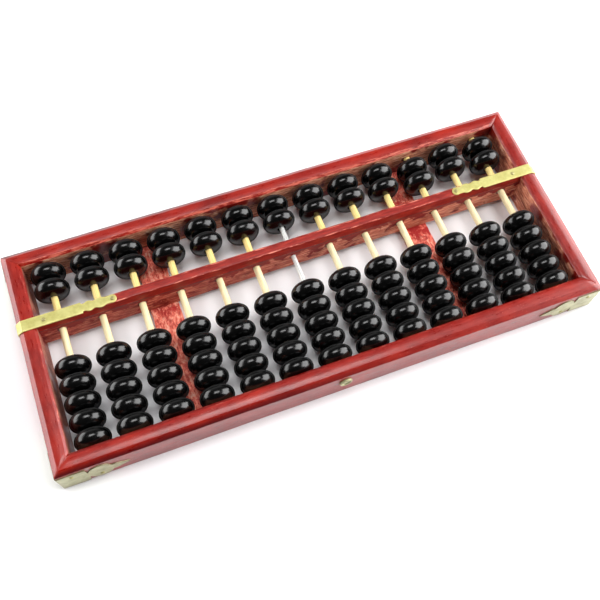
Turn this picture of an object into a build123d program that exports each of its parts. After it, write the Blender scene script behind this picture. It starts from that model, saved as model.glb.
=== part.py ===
from build123d import *
import os

# Bead-frame abacus with thirteen rods: two beads a rod behind the crossbar and five in front of it.
# Millimetres. Origin: bottom centre. +X right along the length, +Y towards the back, +Z up.

# ---- overall frame ----
LENGTH = 265.0
DEPTH = 111.0
RAIL_HEIGHT = 20.5
RAIL_WIDTH = 8.4
OUTER_CHAMFER_RUN = 2.4
OUTER_CHAMFER_DROP = 2.2
INNER_CHAMFER_RUN = 1.2
INNER_CHAMFER_DROP = 1.0

# ---- rods ----
ROD_COUNT = 13
ROD_PITCH = 19.0
ROD_Z = 12.6
BAMBOO_RADIUS = 1.7
TIE_ROD_RADIUS = 1.2
TIE_ROD_NUMBER = 7
ROD_HOLE_CLEARANCE = 0.1
ROD_SOCKET_DEPTH = 5.2

# ---- crossbar between the two decks ----
BAR_FRONT_Y = 12.9
BAR_WIDTH = 6.0
BAR_BEVEL_RUN = 1.4
BAR_BEVEL_DROP = 3.6
BAR_BACK_BEVEL = 0.7
TENON_LENGTH = 4.0
TENON_THICKNESS = 3.0
TENON_HEIGHT = 9.0

# ---- slats under the rods ----
SLAT_WIDTH = 14.0
SLAT_THICKNESS = 3.0
SLAT_LAP = 4.0
SLAT_SIDE_CLEARANCE = 0.1
LEFT_SLAT_AFTER_ROD = 3
RIGHT_SLAT_AFTER_ROD = 10

# ---- beads ----
BEAD_RADIUS = 8.3
BEAD_THICKNESS = 8.7
BEAD_CROWN_SEMI_AXIS = 4.55
BEAD_BORE_RADIUS = 2.15
BEAD_GAP = 0.15
LOWER_BEADS = 5
UPPER_BEADS = 2
# how far the upper pair of a rod stands off the back rail, where it wasn't pushed home
UPPER_STANDOFF = {11: 2.6, 13: 2.2}

# ---- brass fittings ----
SHEET = 0.5
STRAP_WIDTH = 5.6
STRAP_CENTRE_Y = 16.2
STRAP_LEG_BOTTOM_Z = 11.5
STRAP_STRAIGHT = 30.0
STRAP_LOBES = [(34.4, 3.2, 2.6), (40.2, 3.0, 2.5)]
STRAP_END_CENTRE = 44.4
STRAP_END_RADIUS = 1.95
STRAP_WEB_WIDTH = 2.8
STRAP_NAIL_PLACES = [12.5, STRAP_END_CENTRE]
BRACKET_HEIGHT = 16.4
BRACKET_CENTRE_Z = 8.7
BRACKET_STRAIGHT = 12.5
BRACKET_LOBE_CENTRE = 18.0
BRACKET_LOBE_RADIUS = 5.0
BRACKET_LOBE_OFFSET = 2.6
BRACKET_NECK_END = 25.0
BRACKET_NECK_HEIGHT = 6.4
BRACKET_TIP = 31.0
BRACKET_NAIL_PLACES = [(6.0, 4.5), (18.0, -3.6)]
NAIL_SHANK_RADIUS = 0.5
NAIL_HOLE_RADIUS = 0.6
NAIL_SHANK_LENGTH = 2.6
NAIL_HEAD_RADIUS = 1.0
NAIL_HEAD_HEIGHT = 0.5
TIE_HEAD_RADIUS = 3.1
TIE_HEAD_HEIGHT = 1.1
TIE_HEAD_RIM = 0.4

HALF_LENGTH = LENGTH / 2
HALF_DEPTH = DEPTH / 2
INNER_X = HALF_LENGTH - RAIL_WIDTH
INNER_Y = HALF_DEPTH - RAIL_WIDTH
BAR_BACK_Y = BAR_FRONT_Y + BAR_WIDTH
BAR_CENTRE_Y = BAR_FRONT_Y + BAR_WIDTH / 2
FACE_TOP_Z = RAIL_HEIGHT - OUTER_CHAMFER_DROP
STACK_PITCH = BEAD_THICKNESS + BEAD_GAP


def rod_x(number):
    """X of a rod, numbered 1 to ROD_COUNT from the left."""
    return (number - (ROD_COUNT + 1) / 2) * ROD_PITCH


BAMBOO_NUMBERS = [n for n in range(1, ROD_COUNT + 1) if n != TIE_ROD_NUMBER]
SLAT_CENTRES = [rod_x(n) + ROD_PITCH / 2 for n in (LEFT_SLAT_AFTER_ROD, RIGHT_SLAT_AFTER_ROD)]


def box(x_range, y_range, z_range):
    """Axis-aligned block between pairs of limits."""
    size = [high - low for low, high in (x_range, y_range, z_range)]
    centre = [(low + high) / 2 for low, high in (x_range, y_range, z_range)]
    return Pos(*centre) * Box(*size)


def rod_along_y(x, radius, y_from, y_to, z=ROD_Z):
    """Round bar parallel to Y."""
    middle = Pos(x, (y_from + y_to) / 2, z)
    return middle * Rot(90, 0, 0) * Cylinder(radius, abs(y_to - y_from))


def prism(points, plane, length):
    """Solid with the given outline in a plane, extruded along that plane's normal."""
    outline = make_face(Polyline(*points, close=True))
    return extrude(plane * outline, length)


def mirrored_x(shape):
    return mirror(shape, about=Plane.YZ)


def mirrored_y(shape):
    return mirror(shape, about=Plane.XZ)


# ---- rails ----
def rail_blank(length):
    """Front-rail section run along X, outer face at y = 0 and inner face at y = RAIL_WIDTH."""
    section = [
        (0, 0),
        (RAIL_WIDTH, 0),
        (RAIL_WIDTH, RAIL_HEIGHT - INNER_CHAMFER_DROP),
        (RAIL_WIDTH - INNER_CHAMFER_RUN, RAIL_HEIGHT),
        (OUTER_CHAMFER_RUN, RAIL_HEIGHT),
        (0, FACE_TOP_Z),
    ]
    bar = prism(section, Plane.YZ.offset(-length / 2), length)
    half = length / 2
    plan = [(-half, 0), (half, 0), (half - RAIL_WIDTH, RAIL_WIDTH), (-half + RAIL_WIDTH, RAIL_WIDTH)]
    return bar & prism(plan, Plane.XY, RAIL_HEIGHT)


def front_rail_shape():
    """Long rail with its rod sockets, tie-rod hole, slat laps and nail holes."""
    rail = Pos(0, -HALF_DEPTH, 0) * rail_blank(LENGTH)
    for number in BAMBOO_NUMBERS:
        radius = BAMBOO_RADIUS + ROD_HOLE_CLEARANCE
        rail -= rod_along_y(rod_x(number), radius, -INNER_Y - ROD_SOCKET_DEPTH, -INNER_Y + 1)
    tie_x = rod_x(TIE_ROD_NUMBER)
    rail -= rod_along_y(tie_x, TIE_ROD_RADIUS + ROD_HOLE_CLEARANCE, -HALF_DEPTH - 1, -INNER_Y + 1)
    half_slot = SLAT_WIDTH / 2 + SLAT_SIDE_CLEARANCE
    for x in SLAT_CENTRES:
        rail -= box((x - half_slot, x + half_slot), (-INNER_Y - SLAT_LAP, -INNER_Y + 1), (-1, SLAT_THICKNESS))
    for place, height in BRACKET_NAIL_PLACES:
        hole = rod_along_y(
            HALF_LENGTH - place,
            NAIL_HOLE_RADIUS,
            -HALF_DEPTH - 1,
            -HALF_DEPTH + NAIL_SHANK_LENGTH,
            BRACKET_CENTRE_Z + height,
        )
        rail -= hole
        rail -= mirrored_x(hole)
    return rail


def right_rail_shape():
    """Short rail with the crossbar's mortise and nail holes."""
    rail = Pos(HALF_LENGTH, 0, 0) * Rot(0, 0, 90) * rail_blank(DEPTH)
    rail -= tenon_block(0.0)
    for place, height in BRACKET_NAIL_PLACES:
        hole = Pos(HALF_LENGTH, -HALF_DEPTH + place, BRACKET_CENTRE_Z + height) * nail_hole_along_x()
        rail -= hole
        rail -= mirrored_y(hole)
    return rail


def nail_hole_along_x():
    """Hole from x = +1 to the shank's end, to be cut in a right-hand outer face."""
    length = NAIL_SHANK_LENGTH + 1
    return Pos(1 - length / 2, 0, 0) * Rot(0, 90, 0) * Cylinder(NAIL_HOLE_RADIUS, length)


# ---- crossbar ----
def tenon_block(overlap):
    """The crossbar's right-hand tenon, reaching back into the bar by the overlap."""
    half_thickness = TENON_THICKNESS / 2
    middle_z = (SLAT_THICKNESS + RAIL_HEIGHT) / 2
    return box(
        (INNER_X - overlap, INNER_X + TENON_LENGTH),
        (BAR_CENTRE_Y - half_thickness, BAR_CENTRE_Y + half_thickness),
        (middle_z - TENON_HEIGHT / 2, middle_z + TENON_HEIGHT / 2),
    )


def crossbar_shape():
    """Bar between the decks: bevelled top, a tenon at each end and a hole for every rod."""
    section = [
        (BAR_FRONT_Y, SLAT_THICKNESS),
        (BAR_BACK_Y, SLAT_THICKNESS),
        (BAR_BACK_Y, RAIL_HEIGHT - BAR_BACK_BEVEL),
        (BAR_BACK_Y - BAR_BACK_BEVEL, RAIL_HEIGHT),
        (BAR_FRONT_Y + BAR_BEVEL_RUN, RAIL_HEIGHT),
        (BAR_FRONT_Y, RAIL_HEIGHT - BAR_BEVEL_DROP),
    ]
    bar = prism(section, Plane.YZ.offset(-INNER_X), 2 * INNER_X)
    tenon = tenon_block(1.0)
    bar += tenon
    bar += mirrored_x(tenon)
    for number in range(1, ROD_COUNT + 1):
        radius = TIE_ROD_RADIUS if number == TIE_ROD_NUMBER else BAMBOO_RADIUS
        bar -= rod_along_y(rod_x(number), radius + ROD_HOLE_CLEARANCE, BAR_FRONT_Y - 1, BAR_BACK_Y + 1)
    for place in STRAP_NAIL_PLACES:
        depth = NAIL_SHANK_LENGTH + 1
        hole = Pos(HALF_LENGTH - place, STRAP_CENTRE_Y, RAIL_HEIGHT + 1 - depth / 2)
        hole = hole * Cylinder(NAIL_HOLE_RADIUS, depth)
        bar -= hole
        bar -= mirrored_x(hole)
    return bar


# ---- slats and rods ----
def slat_shape(x):
    """Thin strip from rail to rail, passing under the rods and the crossbar."""
    half = SLAT_WIDTH / 2
    reach = INNER_Y + SLAT_LAP
    return box((x - half, x + half), (-reach, reach), (0, SLAT_THICKNESS))


def bamboo_rod(number):
    reach = INNER_Y + ROD_SOCKET_DEPTH
    return rod_along_y(rod_x(number), BAMBOO_RADIUS, -reach, reach)


def tie_rod_shape():
    """Metal rod right through both long rails, its ends inside the two heads."""
    return rod_along_y(rod_x(TIE_ROD_NUMBER), TIE_ROD_RADIUS, -HALF_DEPTH, HALF_DEPTH)


def tie_head_shape():
    """Round head on the front face: a disc with a raised rim, closing the tie rod's hole."""
    turned = [
        (0, 0),
        (TIE_HEAD_RADIUS, 0),
        (TIE_HEAD_RADIUS, TIE_HEAD_HEIGHT - TIE_HEAD_RIM),
        (TIE_HEAD_RADIUS - TIE_HEAD_RIM, TIE_HEAD_HEIGHT),
        (TIE_HEAD_RADIUS - 2 * TIE_HEAD_RIM, TIE_HEAD_HEIGHT),
        (TIE_HEAD_RADIUS - 3 * TIE_HEAD_RIM, TIE_HEAD_HEIGHT - TIE_HEAD_RIM),
        (0, TIE_HEAD_HEIGHT - TIE_HEAD_RIM),
    ]
    head = revolve(make_face(Polyline(*turned, close=True)), axis=Axis.Y)
    return Pos(rod_x(TIE_ROD_NUMBER), -HALF_DEPTH, ROD_Z) * Rot(180, 0, 0) * head


# ---- beads ----
def bead_shape():
    """Oblate bead about Y, with flats round its bore where neighbours meet."""
    ring_width = BEAD_RADIUS - BEAD_BORE_RADIUS
    window = Pos(BEAD_BORE_RADIUS + ring_width / 2, 0) * Rectangle(ring_width, BEAD_THICKNESS)
    profile = Ellipse(BEAD_RADIUS, BEAD_CROWN_SEMI_AXIS) & window
    return revolve(profile, axis=Axis.Y)


def bead_at(number, y):
    return Pos(rod_x(number), y, ROD_Z) * bead_shape()


def lower_bead_y(index):
    """Y of a lower bead, counted from the front rail."""
    return -INNER_Y + BEAD_GAP + BEAD_THICKNESS / 2 + index * STACK_PITCH


def upper_bead_y(number, index):
    """Y of an upper bead, counted from the back rail."""
    standoff = UPPER_STANDOFF.get(number, BEAD_GAP)
    return INNER_Y - standoff - BEAD_THICKNESS / 2 - index * STACK_PITCH


# ---- brass fittings ----
def strap_shape():
    """Right-hand strap: along the crossbar's end, over the rail and down its outer face."""
    outline = Pos(HALF_LENGTH - STRAP_STRAIGHT / 2, STRAP_CENTRE_Y)
    outline = outline * Rectangle(STRAP_STRAIGHT + 2 * SHEET, STRAP_WIDTH)
    web_length = STRAP_END_CENTRE - STRAP_STRAIGHT + 1
    web_centre = HALF_LENGTH - STRAP_END_CENTRE + web_length / 2
    outline += Pos(web_centre, STRAP_CENTRE_Y) * Rectangle(web_length, STRAP_WEB_WIDTH)
    for place, half_run, half_width in STRAP_LOBES:
        outline += Pos(HALF_LENGTH - place, STRAP_CENTRE_Y) * Ellipse(half_run, half_width)
    outline += Pos(HALF_LENGTH - STRAP_END_CENTRE, STRAP_CENTRE_Y) * Circle(STRAP_END_RADIUS)
    inner_end = HALF_LENGTH - STRAP_END_CENTRE - 2 * STRAP_END_RADIUS
    fold = [
        (inner_end, RAIL_HEIGHT),
        (HALF_LENGTH - OUTER_CHAMFER_RUN, RAIL_HEIGHT),
        (HALF_LENGTH, FACE_TOP_Z),
        (HALF_LENGTH, STRAP_LEG_BOTTOM_Z),
        (HALF_LENGTH + SHEET, STRAP_LEG_BOTTOM_Z),
        (HALF_LENGTH + SHEET, FACE_TOP_Z + SHEET / 2),
        (HALF_LENGTH - OUTER_CHAMFER_RUN + SHEET / 2, RAIL_HEIGHT + SHEET),
        (inner_end, RAIL_HEIGHT + SHEET),
    ]
    strap = prism(fold, Plane.XZ.offset(-DEPTH), 2 * DEPTH)
    strap &= extrude(outline, 2 * RAIL_HEIGHT)
    for place in STRAP_NAIL_PLACES:
        hole = Pos(HALF_LENGTH - place, STRAP_CENTRE_Y, RAIL_HEIGHT)
        strap -= hole * Cylinder(NAIL_HOLE_RADIUS, 4 * SHEET)
    return strap


def bracket_leaf():
    """Outline of one bracket leg, drawn from the corner at x = 0 towards its tip at -x."""
    leaf = Pos(-BRACKET_STRAIGHT / 2, 0) * Rectangle(BRACKET_STRAIGHT, BRACKET_HEIGHT)
    leaf += Pos(-BRACKET_NECK_END / 2, 0) * Rectangle(BRACKET_NECK_END, BRACKET_NECK_HEIGHT)
    for side in (-1, 1):
        leaf += Pos(-BRACKET_LOBE_CENTRE, side * BRACKET_LOBE_OFFSET) * Circle(BRACKET_LOBE_RADIUS)
    half_neck = BRACKET_NECK_HEIGHT / 2
    tip = [(-BRACKET_NECK_END, -half_neck), (-BRACKET_TIP, 0), (-BRACKET_NECK_END, half_neck)]
    leaf += make_face(Polyline(*tip, close=True))
    for place, height in BRACKET_NAIL_PLACES:
        leaf -= Pos(-place, height) * Circle(NAIL_HOLE_RADIUS)
    return leaf


def bracket_shape():
    """Front-right corner bracket: two leaf-ended legs folded round the vertical corner."""
    leaf = bracket_leaf()
    front_plane = Plane((HALF_LENGTH, -HALF_DEPTH, BRACKET_CENTRE_Z), x_dir=(1, 0, 0), z_dir=(0, -1, 0))
    side_plane = Plane((HALF_LENGTH, -HALF_DEPTH, BRACKET_CENTRE_Z), x_dir=(0, 1, 0), z_dir=(1, 0, 0))
    half_height = BRACKET_HEIGHT / 2
    corner = box(
        (HALF_LENGTH, HALF_LENGTH + SHEET),
        (-HALF_DEPTH - SHEET, -HALF_DEPTH),
        (BRACKET_CENTRE_Z - half_height, BRACKET_CENTRE_Z + half_height),
    )
    side_leaf = mirrored_x(leaf)
    return extrude(front_plane * leaf, SHEET) + extrude(side_plane * side_leaf, SHEET) + corner


def nail_shape():
    """Round-headed nail along Z, the underside of its head at z = 0."""
    shank = Pos(0, 0, -NAIL_SHANK_LENGTH / 2) * Cylinder(NAIL_SHANK_RADIUS, NAIL_SHANK_LENGTH)
    head = Pos(0, 0, NAIL_HEAD_HEIGHT / 2) * Cone(NAIL_HEAD_RADIUS, NAIL_HEAD_RADIUS / 2, NAIL_HEAD_HEIGHT)
    return shank + head


def strap_nails():
    nails = []
    for place in STRAP_NAIL_PLACES:
        for side in (-1, 1):
            spot = Pos(side * (HALF_LENGTH - place), STRAP_CENTRE_Y, RAIL_HEIGHT + SHEET)
            nails.append(spot * nail_shape())
    return nails


def bracket_nails():
    """Two nails in each leg of the four corner brackets."""
    nails = []
    for side_x in (-1, 1):
        for side_y in (-1, 1):
            for place, height in BRACKET_NAIL_PLACES:
                z = BRACKET_CENTRE_Z + height
                long_spot = Pos(side_x * (HALF_LENGTH - place), side_y * (HALF_DEPTH + SHEET), z)
                nails.append(long_spot * Rot(-90 * side_y, 0, 0) * nail_shape())
                short_spot = Pos(side_x * (HALF_LENGTH + SHEET), side_y * (HALF_DEPTH - place), z)
                nails.append(short_spot * Rot(0, 90 * side_x, 0) * nail_shape())
    return nails


# ---- nodes ----
def write_node(name, solids):
    """One STEP file for each node; a group of identical pieces stays separate solids."""
    shape = solids[0] if len(solids) == 1 else Compound(children=solids)
    export_step(shape, os.path.join("parts", name + ".step"))


def frame_nodes():
    front_rail = front_rail_shape()
    right_rail = right_rail_shape()
    right_strap = strap_shape()
    front_right_bracket = bracket_shape()
    back_right_bracket = mirrored_y(front_right_bracket)
    tie_head = tie_head_shape()
    left_slat_x, right_slat_x = SLAT_CENTRES
    return {
        "front_rail": [front_rail],
        "back_rail": [mirrored_y(front_rail)],
        "left_rail": [mirrored_x(right_rail)],
        "right_rail": [right_rail],
        "crossbar": [crossbar_shape()],
        "left_slat": [slat_shape(left_slat_x)],
        "right_slat": [slat_shape(right_slat_x)],
        "left_bamboo_rods": [bamboo_rod(n) for n in BAMBOO_NUMBERS if n < TIE_ROD_NUMBER],
        "right_bamboo_rods": [bamboo_rod(n) for n in BAMBOO_NUMBERS if n > TIE_ROD_NUMBER],
        "tie_rod": [tie_rod_shape()],
        "tie_rod_front_head": [tie_head],
        "tie_rod_back_nut": [mirrored_y(tie_head)],
        "left_crossbar_strap": [mirrored_x(right_strap)],
        "right_crossbar_strap": [right_strap],
        "front_left_bracket": [mirrored_x(front_right_bracket)],
        "front_right_bracket": [front_right_bracket],
        "back_left_bracket": [mirrored_x(back_right_bracket)],
        "back_right_bracket": [back_right_bracket],
        "strap_nails": strap_nails(),
        "bracket_nails": bracket_nails(),
    }


def bead_nodes():
    nodes = {}
    for number in range(1, ROD_COUNT + 1):
        suffix = f"{number:02d}"
        lower = [bead_at(number, lower_bead_y(index)) for index in range(LOWER_BEADS)]
        far, near = [bead_at(number, upper_bead_y(number, index)) for index in range(UPPER_BEADS)]
        nodes["lower_beads_" + suffix] = lower
        nodes["upper_far_bead_" + suffix] = [far]
        nodes["upper_near_bead_" + suffix] = [near]
    return nodes


os.makedirs("parts", exist_ok=True)
for node_name, node_solids in {**frame_nodes(), **bead_nodes()}.items():
    write_node(node_name, node_solids)
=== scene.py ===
import math
import random

import bmesh
import bpy
from mathutils import Matrix, Vector, noise


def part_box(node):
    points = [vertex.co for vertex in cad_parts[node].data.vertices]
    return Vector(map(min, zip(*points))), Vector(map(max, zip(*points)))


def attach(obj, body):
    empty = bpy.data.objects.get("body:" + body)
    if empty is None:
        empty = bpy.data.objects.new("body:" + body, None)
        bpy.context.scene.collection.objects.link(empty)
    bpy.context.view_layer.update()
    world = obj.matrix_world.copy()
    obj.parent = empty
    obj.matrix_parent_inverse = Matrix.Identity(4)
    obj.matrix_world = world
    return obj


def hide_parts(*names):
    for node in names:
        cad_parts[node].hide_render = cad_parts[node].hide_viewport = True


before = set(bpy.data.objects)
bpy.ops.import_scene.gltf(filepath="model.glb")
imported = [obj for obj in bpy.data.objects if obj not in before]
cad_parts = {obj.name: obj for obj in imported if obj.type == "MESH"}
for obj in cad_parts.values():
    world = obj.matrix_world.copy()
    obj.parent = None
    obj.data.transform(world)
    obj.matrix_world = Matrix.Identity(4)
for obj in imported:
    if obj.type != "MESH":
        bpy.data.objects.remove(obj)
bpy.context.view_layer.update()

# Look of the thirteen-rod abacus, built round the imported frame. Metres, in the frame's own axes:
# +X right along the length, +Y towards the back, +Z up, the floor at z = 0.

MM = 0.001
ROD_COUNT = 13
TIE_ROD = 7
LOWER_COUNT = 5
SEED = 13


def span(node):
    """Low and high corner of a CAD node."""
    low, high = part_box(node)
    return Vector(low), Vector(high)


def middle(node):
    """Middle of a CAD node's box."""
    low, high = span(node)
    return (low + high) / 2


# ---- sizes read from the frame ----
FRONT_LOW, FRONT_HIGH = span("front_rail")
BAR_LOW, BAR_HIGH = span("crossbar")
ROD_LOW, ROD_HIGH = span("left_bamboo_rods")
TIE_LOW, TIE_HIGH = span("tie_rod")
HEAD_LOW, HEAD_HIGH = span("tie_rod_front_head")
BEAD_LOW, BEAD_HIGH = span("upper_far_bead_01")

HALF_LENGTH = FRONT_HIGH.x
HALF_DEPTH = -FRONT_LOW.y
RAIL_TOP = FRONT_HIGH.z
RAIL_WIDTH = FRONT_HIGH.y - FRONT_LOW.y
INNER_X = HALF_LENGTH - RAIL_WIDTH
INNER_Y = HALF_DEPTH - RAIL_WIDTH
ROD_RADIUS = (ROD_HIGH.z - ROD_LOW.z) / 2
TIE_RADIUS = (TIE_HIGH.z - TIE_LOW.z) / 2
ROD_Z = (ROD_HIGH.z + ROD_LOW.z) / 2
BEAD_RADIUS = (BEAD_HIGH.x - BEAD_LOW.x) / 2
BEAD_THICKNESS = BEAD_HIGH.y - BEAD_LOW.y
ROD_X = {n: middle(f"lower_beads_{n:02d}").x for n in range(1, ROD_COUNT + 1)}

# ---- wood: chamfers and bevels are (run across, drop), waves are (length, amount) ----
OUTER_CHAMFER = (2.4 * MM, 2.2 * MM)
INNER_CHAMFER = (1.2 * MM, 1.0 * MM)
BAR_BEVEL = (1.4 * MM, 3.6 * MM)
RAIL_CROWN = 0.4 * MM
MITRE_GROOVE = 0.14 * MM
RAIL_WAVE = (30 * MM, 0.14 * MM)
RAIL_RIPPLE = (5 * MM, 0.05 * MM)
BAR_WAVE = (24 * MM, 0.2 * MM)
BAR_RIPPLE = (4 * MM, 0.07 * MM)
SLAT_WAVE = (7 * MM, 0.35 * MM)
SLAT_RIPPLE = (1.6 * MM, 0.16 * MM)
# Tone of each rail's (outer chamfer, inner lip): above 0 pale pink, a painted highlight; below 0 dark
# lacquer, painted shade.
RAIL_TONES = {
    "front_rail": (-1.0, -0.5),
    "back_rail": (-1.0, 1.25),
    "left_rail": (0.0, 0.0),
    "right_rail": (0.0, 0.9),
}
SOCKET_DEPTH = 5 * MM
HOLE_CLEARANCE = 0.2 * MM

# ---- rods ----
BAMBOO_SOCKET = 4.8 * MM
BAMBOO_BOW = 0.12
BAMBOO_FACET_LENGTH = 9 * MM
BAMBOO_JOINT_SWELL = 0.05 * MM
BAMBOO_JOINT_REACH = 0.7 * MM
TIE_INSET = 0.1 * MM

# ---- beads: shares are of the CAD size, play and hang in mm, tilt in degrees ----
BORE_RADIUS = 2.15 * MM
BORE_MOUTH = 0.35 * MM
BEAD_RADIUS_SHARE = (0.985, 1.0)
BEAD_THICKNESS_SHARE = (0.975, 0.995)
BEAD_SIDE_PLAY = (-0.12, 0.12)
BEAD_HANG = (-0.3, -0.15)
BEAD_TILT = (-1.0, 1.0)

# ---- brass sheet ----
SHEET = 0.5 * MM
STRAP_HALF_WIDTH = 2.8 * MM
STRAP_STRAIGHT = 30 * MM
STRAP_WEB = 1.9 * MM
# Lobes of a strap: distance from the frame's outer face, half length and half width.
STRAP_LOBES = [
    (33.4 * MM, 2.7 * MM, 2.6 * MM),
    (38.7 * MM, 3.3 * MM, 2.6 * MM),
    (44.2 * MM, 2.15 * MM, 2.15 * MM),
]
STRAP_LEG_BOTTOM = 11.5 * MM
# Nails of a strap: distance from the frame's outer face.
STRAP_NAILS = [12.5 * MM, 44.4 * MM]
BRACKET_HALF_HEIGHT = 8.2 * MM
BRACKET_STRAIGHT = 12.5 * MM
# Lobe of a bracket: distance from the corner, radius and what is added to its half height.
BRACKET_LOBE = (18 * MM, 5 * MM, 2.6 * MM)
# Neck of a bracket: distance from the corner where its taper starts and the half height there.
BRACKET_NECK = (25 * MM, 3.2 * MM)
BRACKET_TIP = 31 * MM
# Nails of a bracket's leg: distance from the corner and height above the bracket's middle.
BRACKET_NAILS = [(6 * MM, 4.5 * MM), (18 * MM, -3.6 * MM)]
NAIL_RADIUS = 1.0 * MM
NAIL_HEIGHT = 0.5 * MM

# ---- fineness: sections along a piece, sides of a round one, steps of its outline ----
RAIL_STEP = 2.2 * MM
BAR_SECTIONS = 200
SLAT_SECTIONS = 90
BAMBOO_SECTIONS = 110
BAMBOO_SIDES = 20
TIE_SECTIONS = 60
TIE_SIDES = 28
HOLE_SIDES = 24
HEAD_SIDES = 40
BEAD_STEPS = 22
BEAD_SIDES = 56
PLATE_STEP = 0.35 * MM
NAIL_STEPS = 6
NAIL_SIDES = 20

# ---- camera: angles in degrees, target and distance as shares of the abacus's length ----
CAMERA_AZIMUTH = -25.0
CAMERA_ELEVATION = 65.1
CAMERA_ROLL = 4.85
CAMERA_TARGET = (-0.0104, -0.0189)
CAMERA_DISTANCE = 1.447
CAMERA_LENS = 46.5
CAMERA_SENSOR = 36

# ---- lights: azimuth, elevation, distance, (width, height), watts ----
WINDOW = (79, 17, 0.9, (1.1, 1.25), 29)
LEFT_STRIP = (-115, 16, 0.9, (1.1, 0.6), 10.5)
OVERHEAD = (180, 88.5, 0.9, (0.5, 0.26), 3.4)
FILL = (165, 62, 1.6, (1.4, 1.4), 8.5)
FILL_TINT = (0.94, 0.97, 1)
TABLE_HALF_SIZE = 4


# ---- outlines ----
def fillet(before, here, after, radius, steps):
    """Points of the arc that rounds one corner."""
    back = (before - here).normalized()
    ahead = (after - here).normalized()
    half_angle = back.angle(ahead) / 2
    centre = here + (back + ahead).normalized() * radius / math.sin(half_angle)
    reach = radius / math.tan(half_angle)
    first = (here + back * reach - centre).normalized()
    last = (here + ahead * reach - centre).normalized()
    return [centre + radius * first.slerp(last, k / steps) for k in range(steps + 1)]


def rounded_ring(corners, steps, longest):
    """Closed outline through (x, y, radius) corners, as (point, edge) pairs; edge is 1 on small arcs."""
    ring = []
    places = [Vector(corner[:2]) for corner in corners]
    for i, (_, _, radius) in enumerate(corners):
        after = places[(i + 1) % len(places)]
        sharp = 1.0 if radius < 1 * MM else 0.0
        ring += [(point, sharp) for point in fillet(places[i - 1], places[i], after, radius, steps)]
    filled = []
    for i, (point, edge) in enumerate(ring):
        filled.append((point, edge))
        following = ring[(i + 1) % len(ring)][0]
        parts = math.ceil((following - point).length / longest)
        for k in range(1, parts):
            filled.append((point.lerp(following, k / parts), 0.0))
    return filled


def rounded_path(places, radius, steps, longest):
    """Open line through the places, its bends rounded and its runs divided."""
    line = [places[0]]
    for before, here, after in zip(places, places[1:], places[2:]):
        line += fillet(before, here, after, radius, steps)
    line.append(places[-1])
    path = []
    for start, end in zip(line, line[1:]):
        parts = max(1, math.ceil((end - start).length / longest))
        path += [start.lerp(end, k / parts) for k in range(parts)]
    return path + [line[-1]]


def wobble(point, wave, amount, seed=0.0):
    """The point moved a little, smoothly over waves of the given length."""
    return point + noise.noise_vector(point / wave + Vector((seed, seed, seed))) * amount


# ---- mesh making ----
def new_mesh():
    """Empty mesh with the two vertex layers that the materials read: edges, for wear and pressed edges
    and for a painted highlight on inner lips and a painted shadow line on the brackets, and bare wood,
    with painted shade below 0 and a painted shadow line at 0.5.
    """
    bm = bmesh.new()
    bm.verts.layers.float.new("edge")
    bm.verts.layers.float.new("bare_and_shade")
    return bm


def add_ring(bm, points):
    """Vertices for (point, edge, raw) triples."""
    edge_layer = bm.verts.layers.float["edge"]
    bare_and_shade_layer = bm.verts.layers.float["bare_and_shade"]
    ring = []
    for point, edge, bare_and_shade in points:
        vertex = bm.verts.new(point)
        vertex[edge_layer] = edge
        vertex[bare_and_shade_layer] = bare_and_shade
        ring.append(vertex)
    return ring


def join_rings(bm, rings, wrap=False):
    """Quads between closed rings of equal length."""
    pairs = list(zip(rings, rings[1:]))
    if wrap:
        pairs.append((rings[-1], rings[0]))
    for one, two in pairs:
        for i in range(len(one)):
            bm.faces.new((one[i - 1], one[i], two[i], two[i - 1]))


def close_ring(bm, ring):
    """Fan from a ring to its middle."""
    centre = sum((vertex.co for vertex in ring), Vector()) / len(ring)
    hub = bm.verts.new(centre)
    for i in range(len(ring)):
        bm.faces.new((ring[i - 1], ring[i], hub))


def loft(bm, sections):
    """Solid skinned over closed sections of (point, edge, raw) triples, closed at both ends."""
    rings = [add_ring(bm, section) for section in sections]
    join_rings(bm, rings)
    close_ring(bm, rings[0])
    close_ring(bm, rings[-1])


def turned(bm, outline, segments, place, closed=False):
    """Lathe work: (radius, height) outline turned about the local Z axis of the place matrix."""
    rings = []
    for radius, height in outline:
        spokes = [2 * math.pi * k / segments for k in range(segments)]
        points = [place @ Vector((radius * math.cos(a), radius * math.sin(a), height)) for a in spokes]
        rings.append(add_ring(bm, [(point, 0.0, 0.0) for point in points]))
    join_rings(bm, rings, wrap=closed)
    if not closed:
        close_ring(bm, rings[0])
        close_ring(bm, rings[-1])


def piece(name, bm, material, body, nodes, sharp_degrees=40):
    """Turns the mesh into a smooth-shaded object that rides on a body and stands for CAD nodes."""
    bmesh.ops.recalc_face_normals(bm, faces=bm.faces)
    mesh = bpy.data.meshes.new(name)
    bm.to_mesh(mesh)
    bm.free()
    mesh.shade_smooth()
    mesh.set_sharp_from_angle(angle=math.radians(sharp_degrees))
    mesh.materials.append(material)
    made = bpy.data.objects.new(name, mesh)
    bpy.context.collection.objects.link(made)
    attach(made, body)
    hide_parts(*nodes)
    return made


def cut(target, cutter_mesh):
    """Takes the cutter's volume out of the target's mesh."""
    mesh = bpy.data.meshes.new("cutter")
    bmesh.ops.recalc_face_normals(cutter_mesh, faces=cutter_mesh.faces)
    cutter_mesh.to_mesh(mesh)
    cutter_mesh.free()
    cutter = bpy.data.objects.new("cutter", mesh)
    bpy.context.collection.objects.link(cutter)
    modifier = target.modifiers.new("cut", "BOOLEAN")
    modifier.operation = "DIFFERENCE"
    modifier.solver = "EXACT"
    modifier.object = cutter
    graph = bpy.context.evaluated_depsgraph_get()
    result = bpy.data.meshes.new_from_object(target.evaluated_get(graph))
    target.modifiers.clear()
    target.data = result
    bpy.data.objects.remove(cutter)


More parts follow.
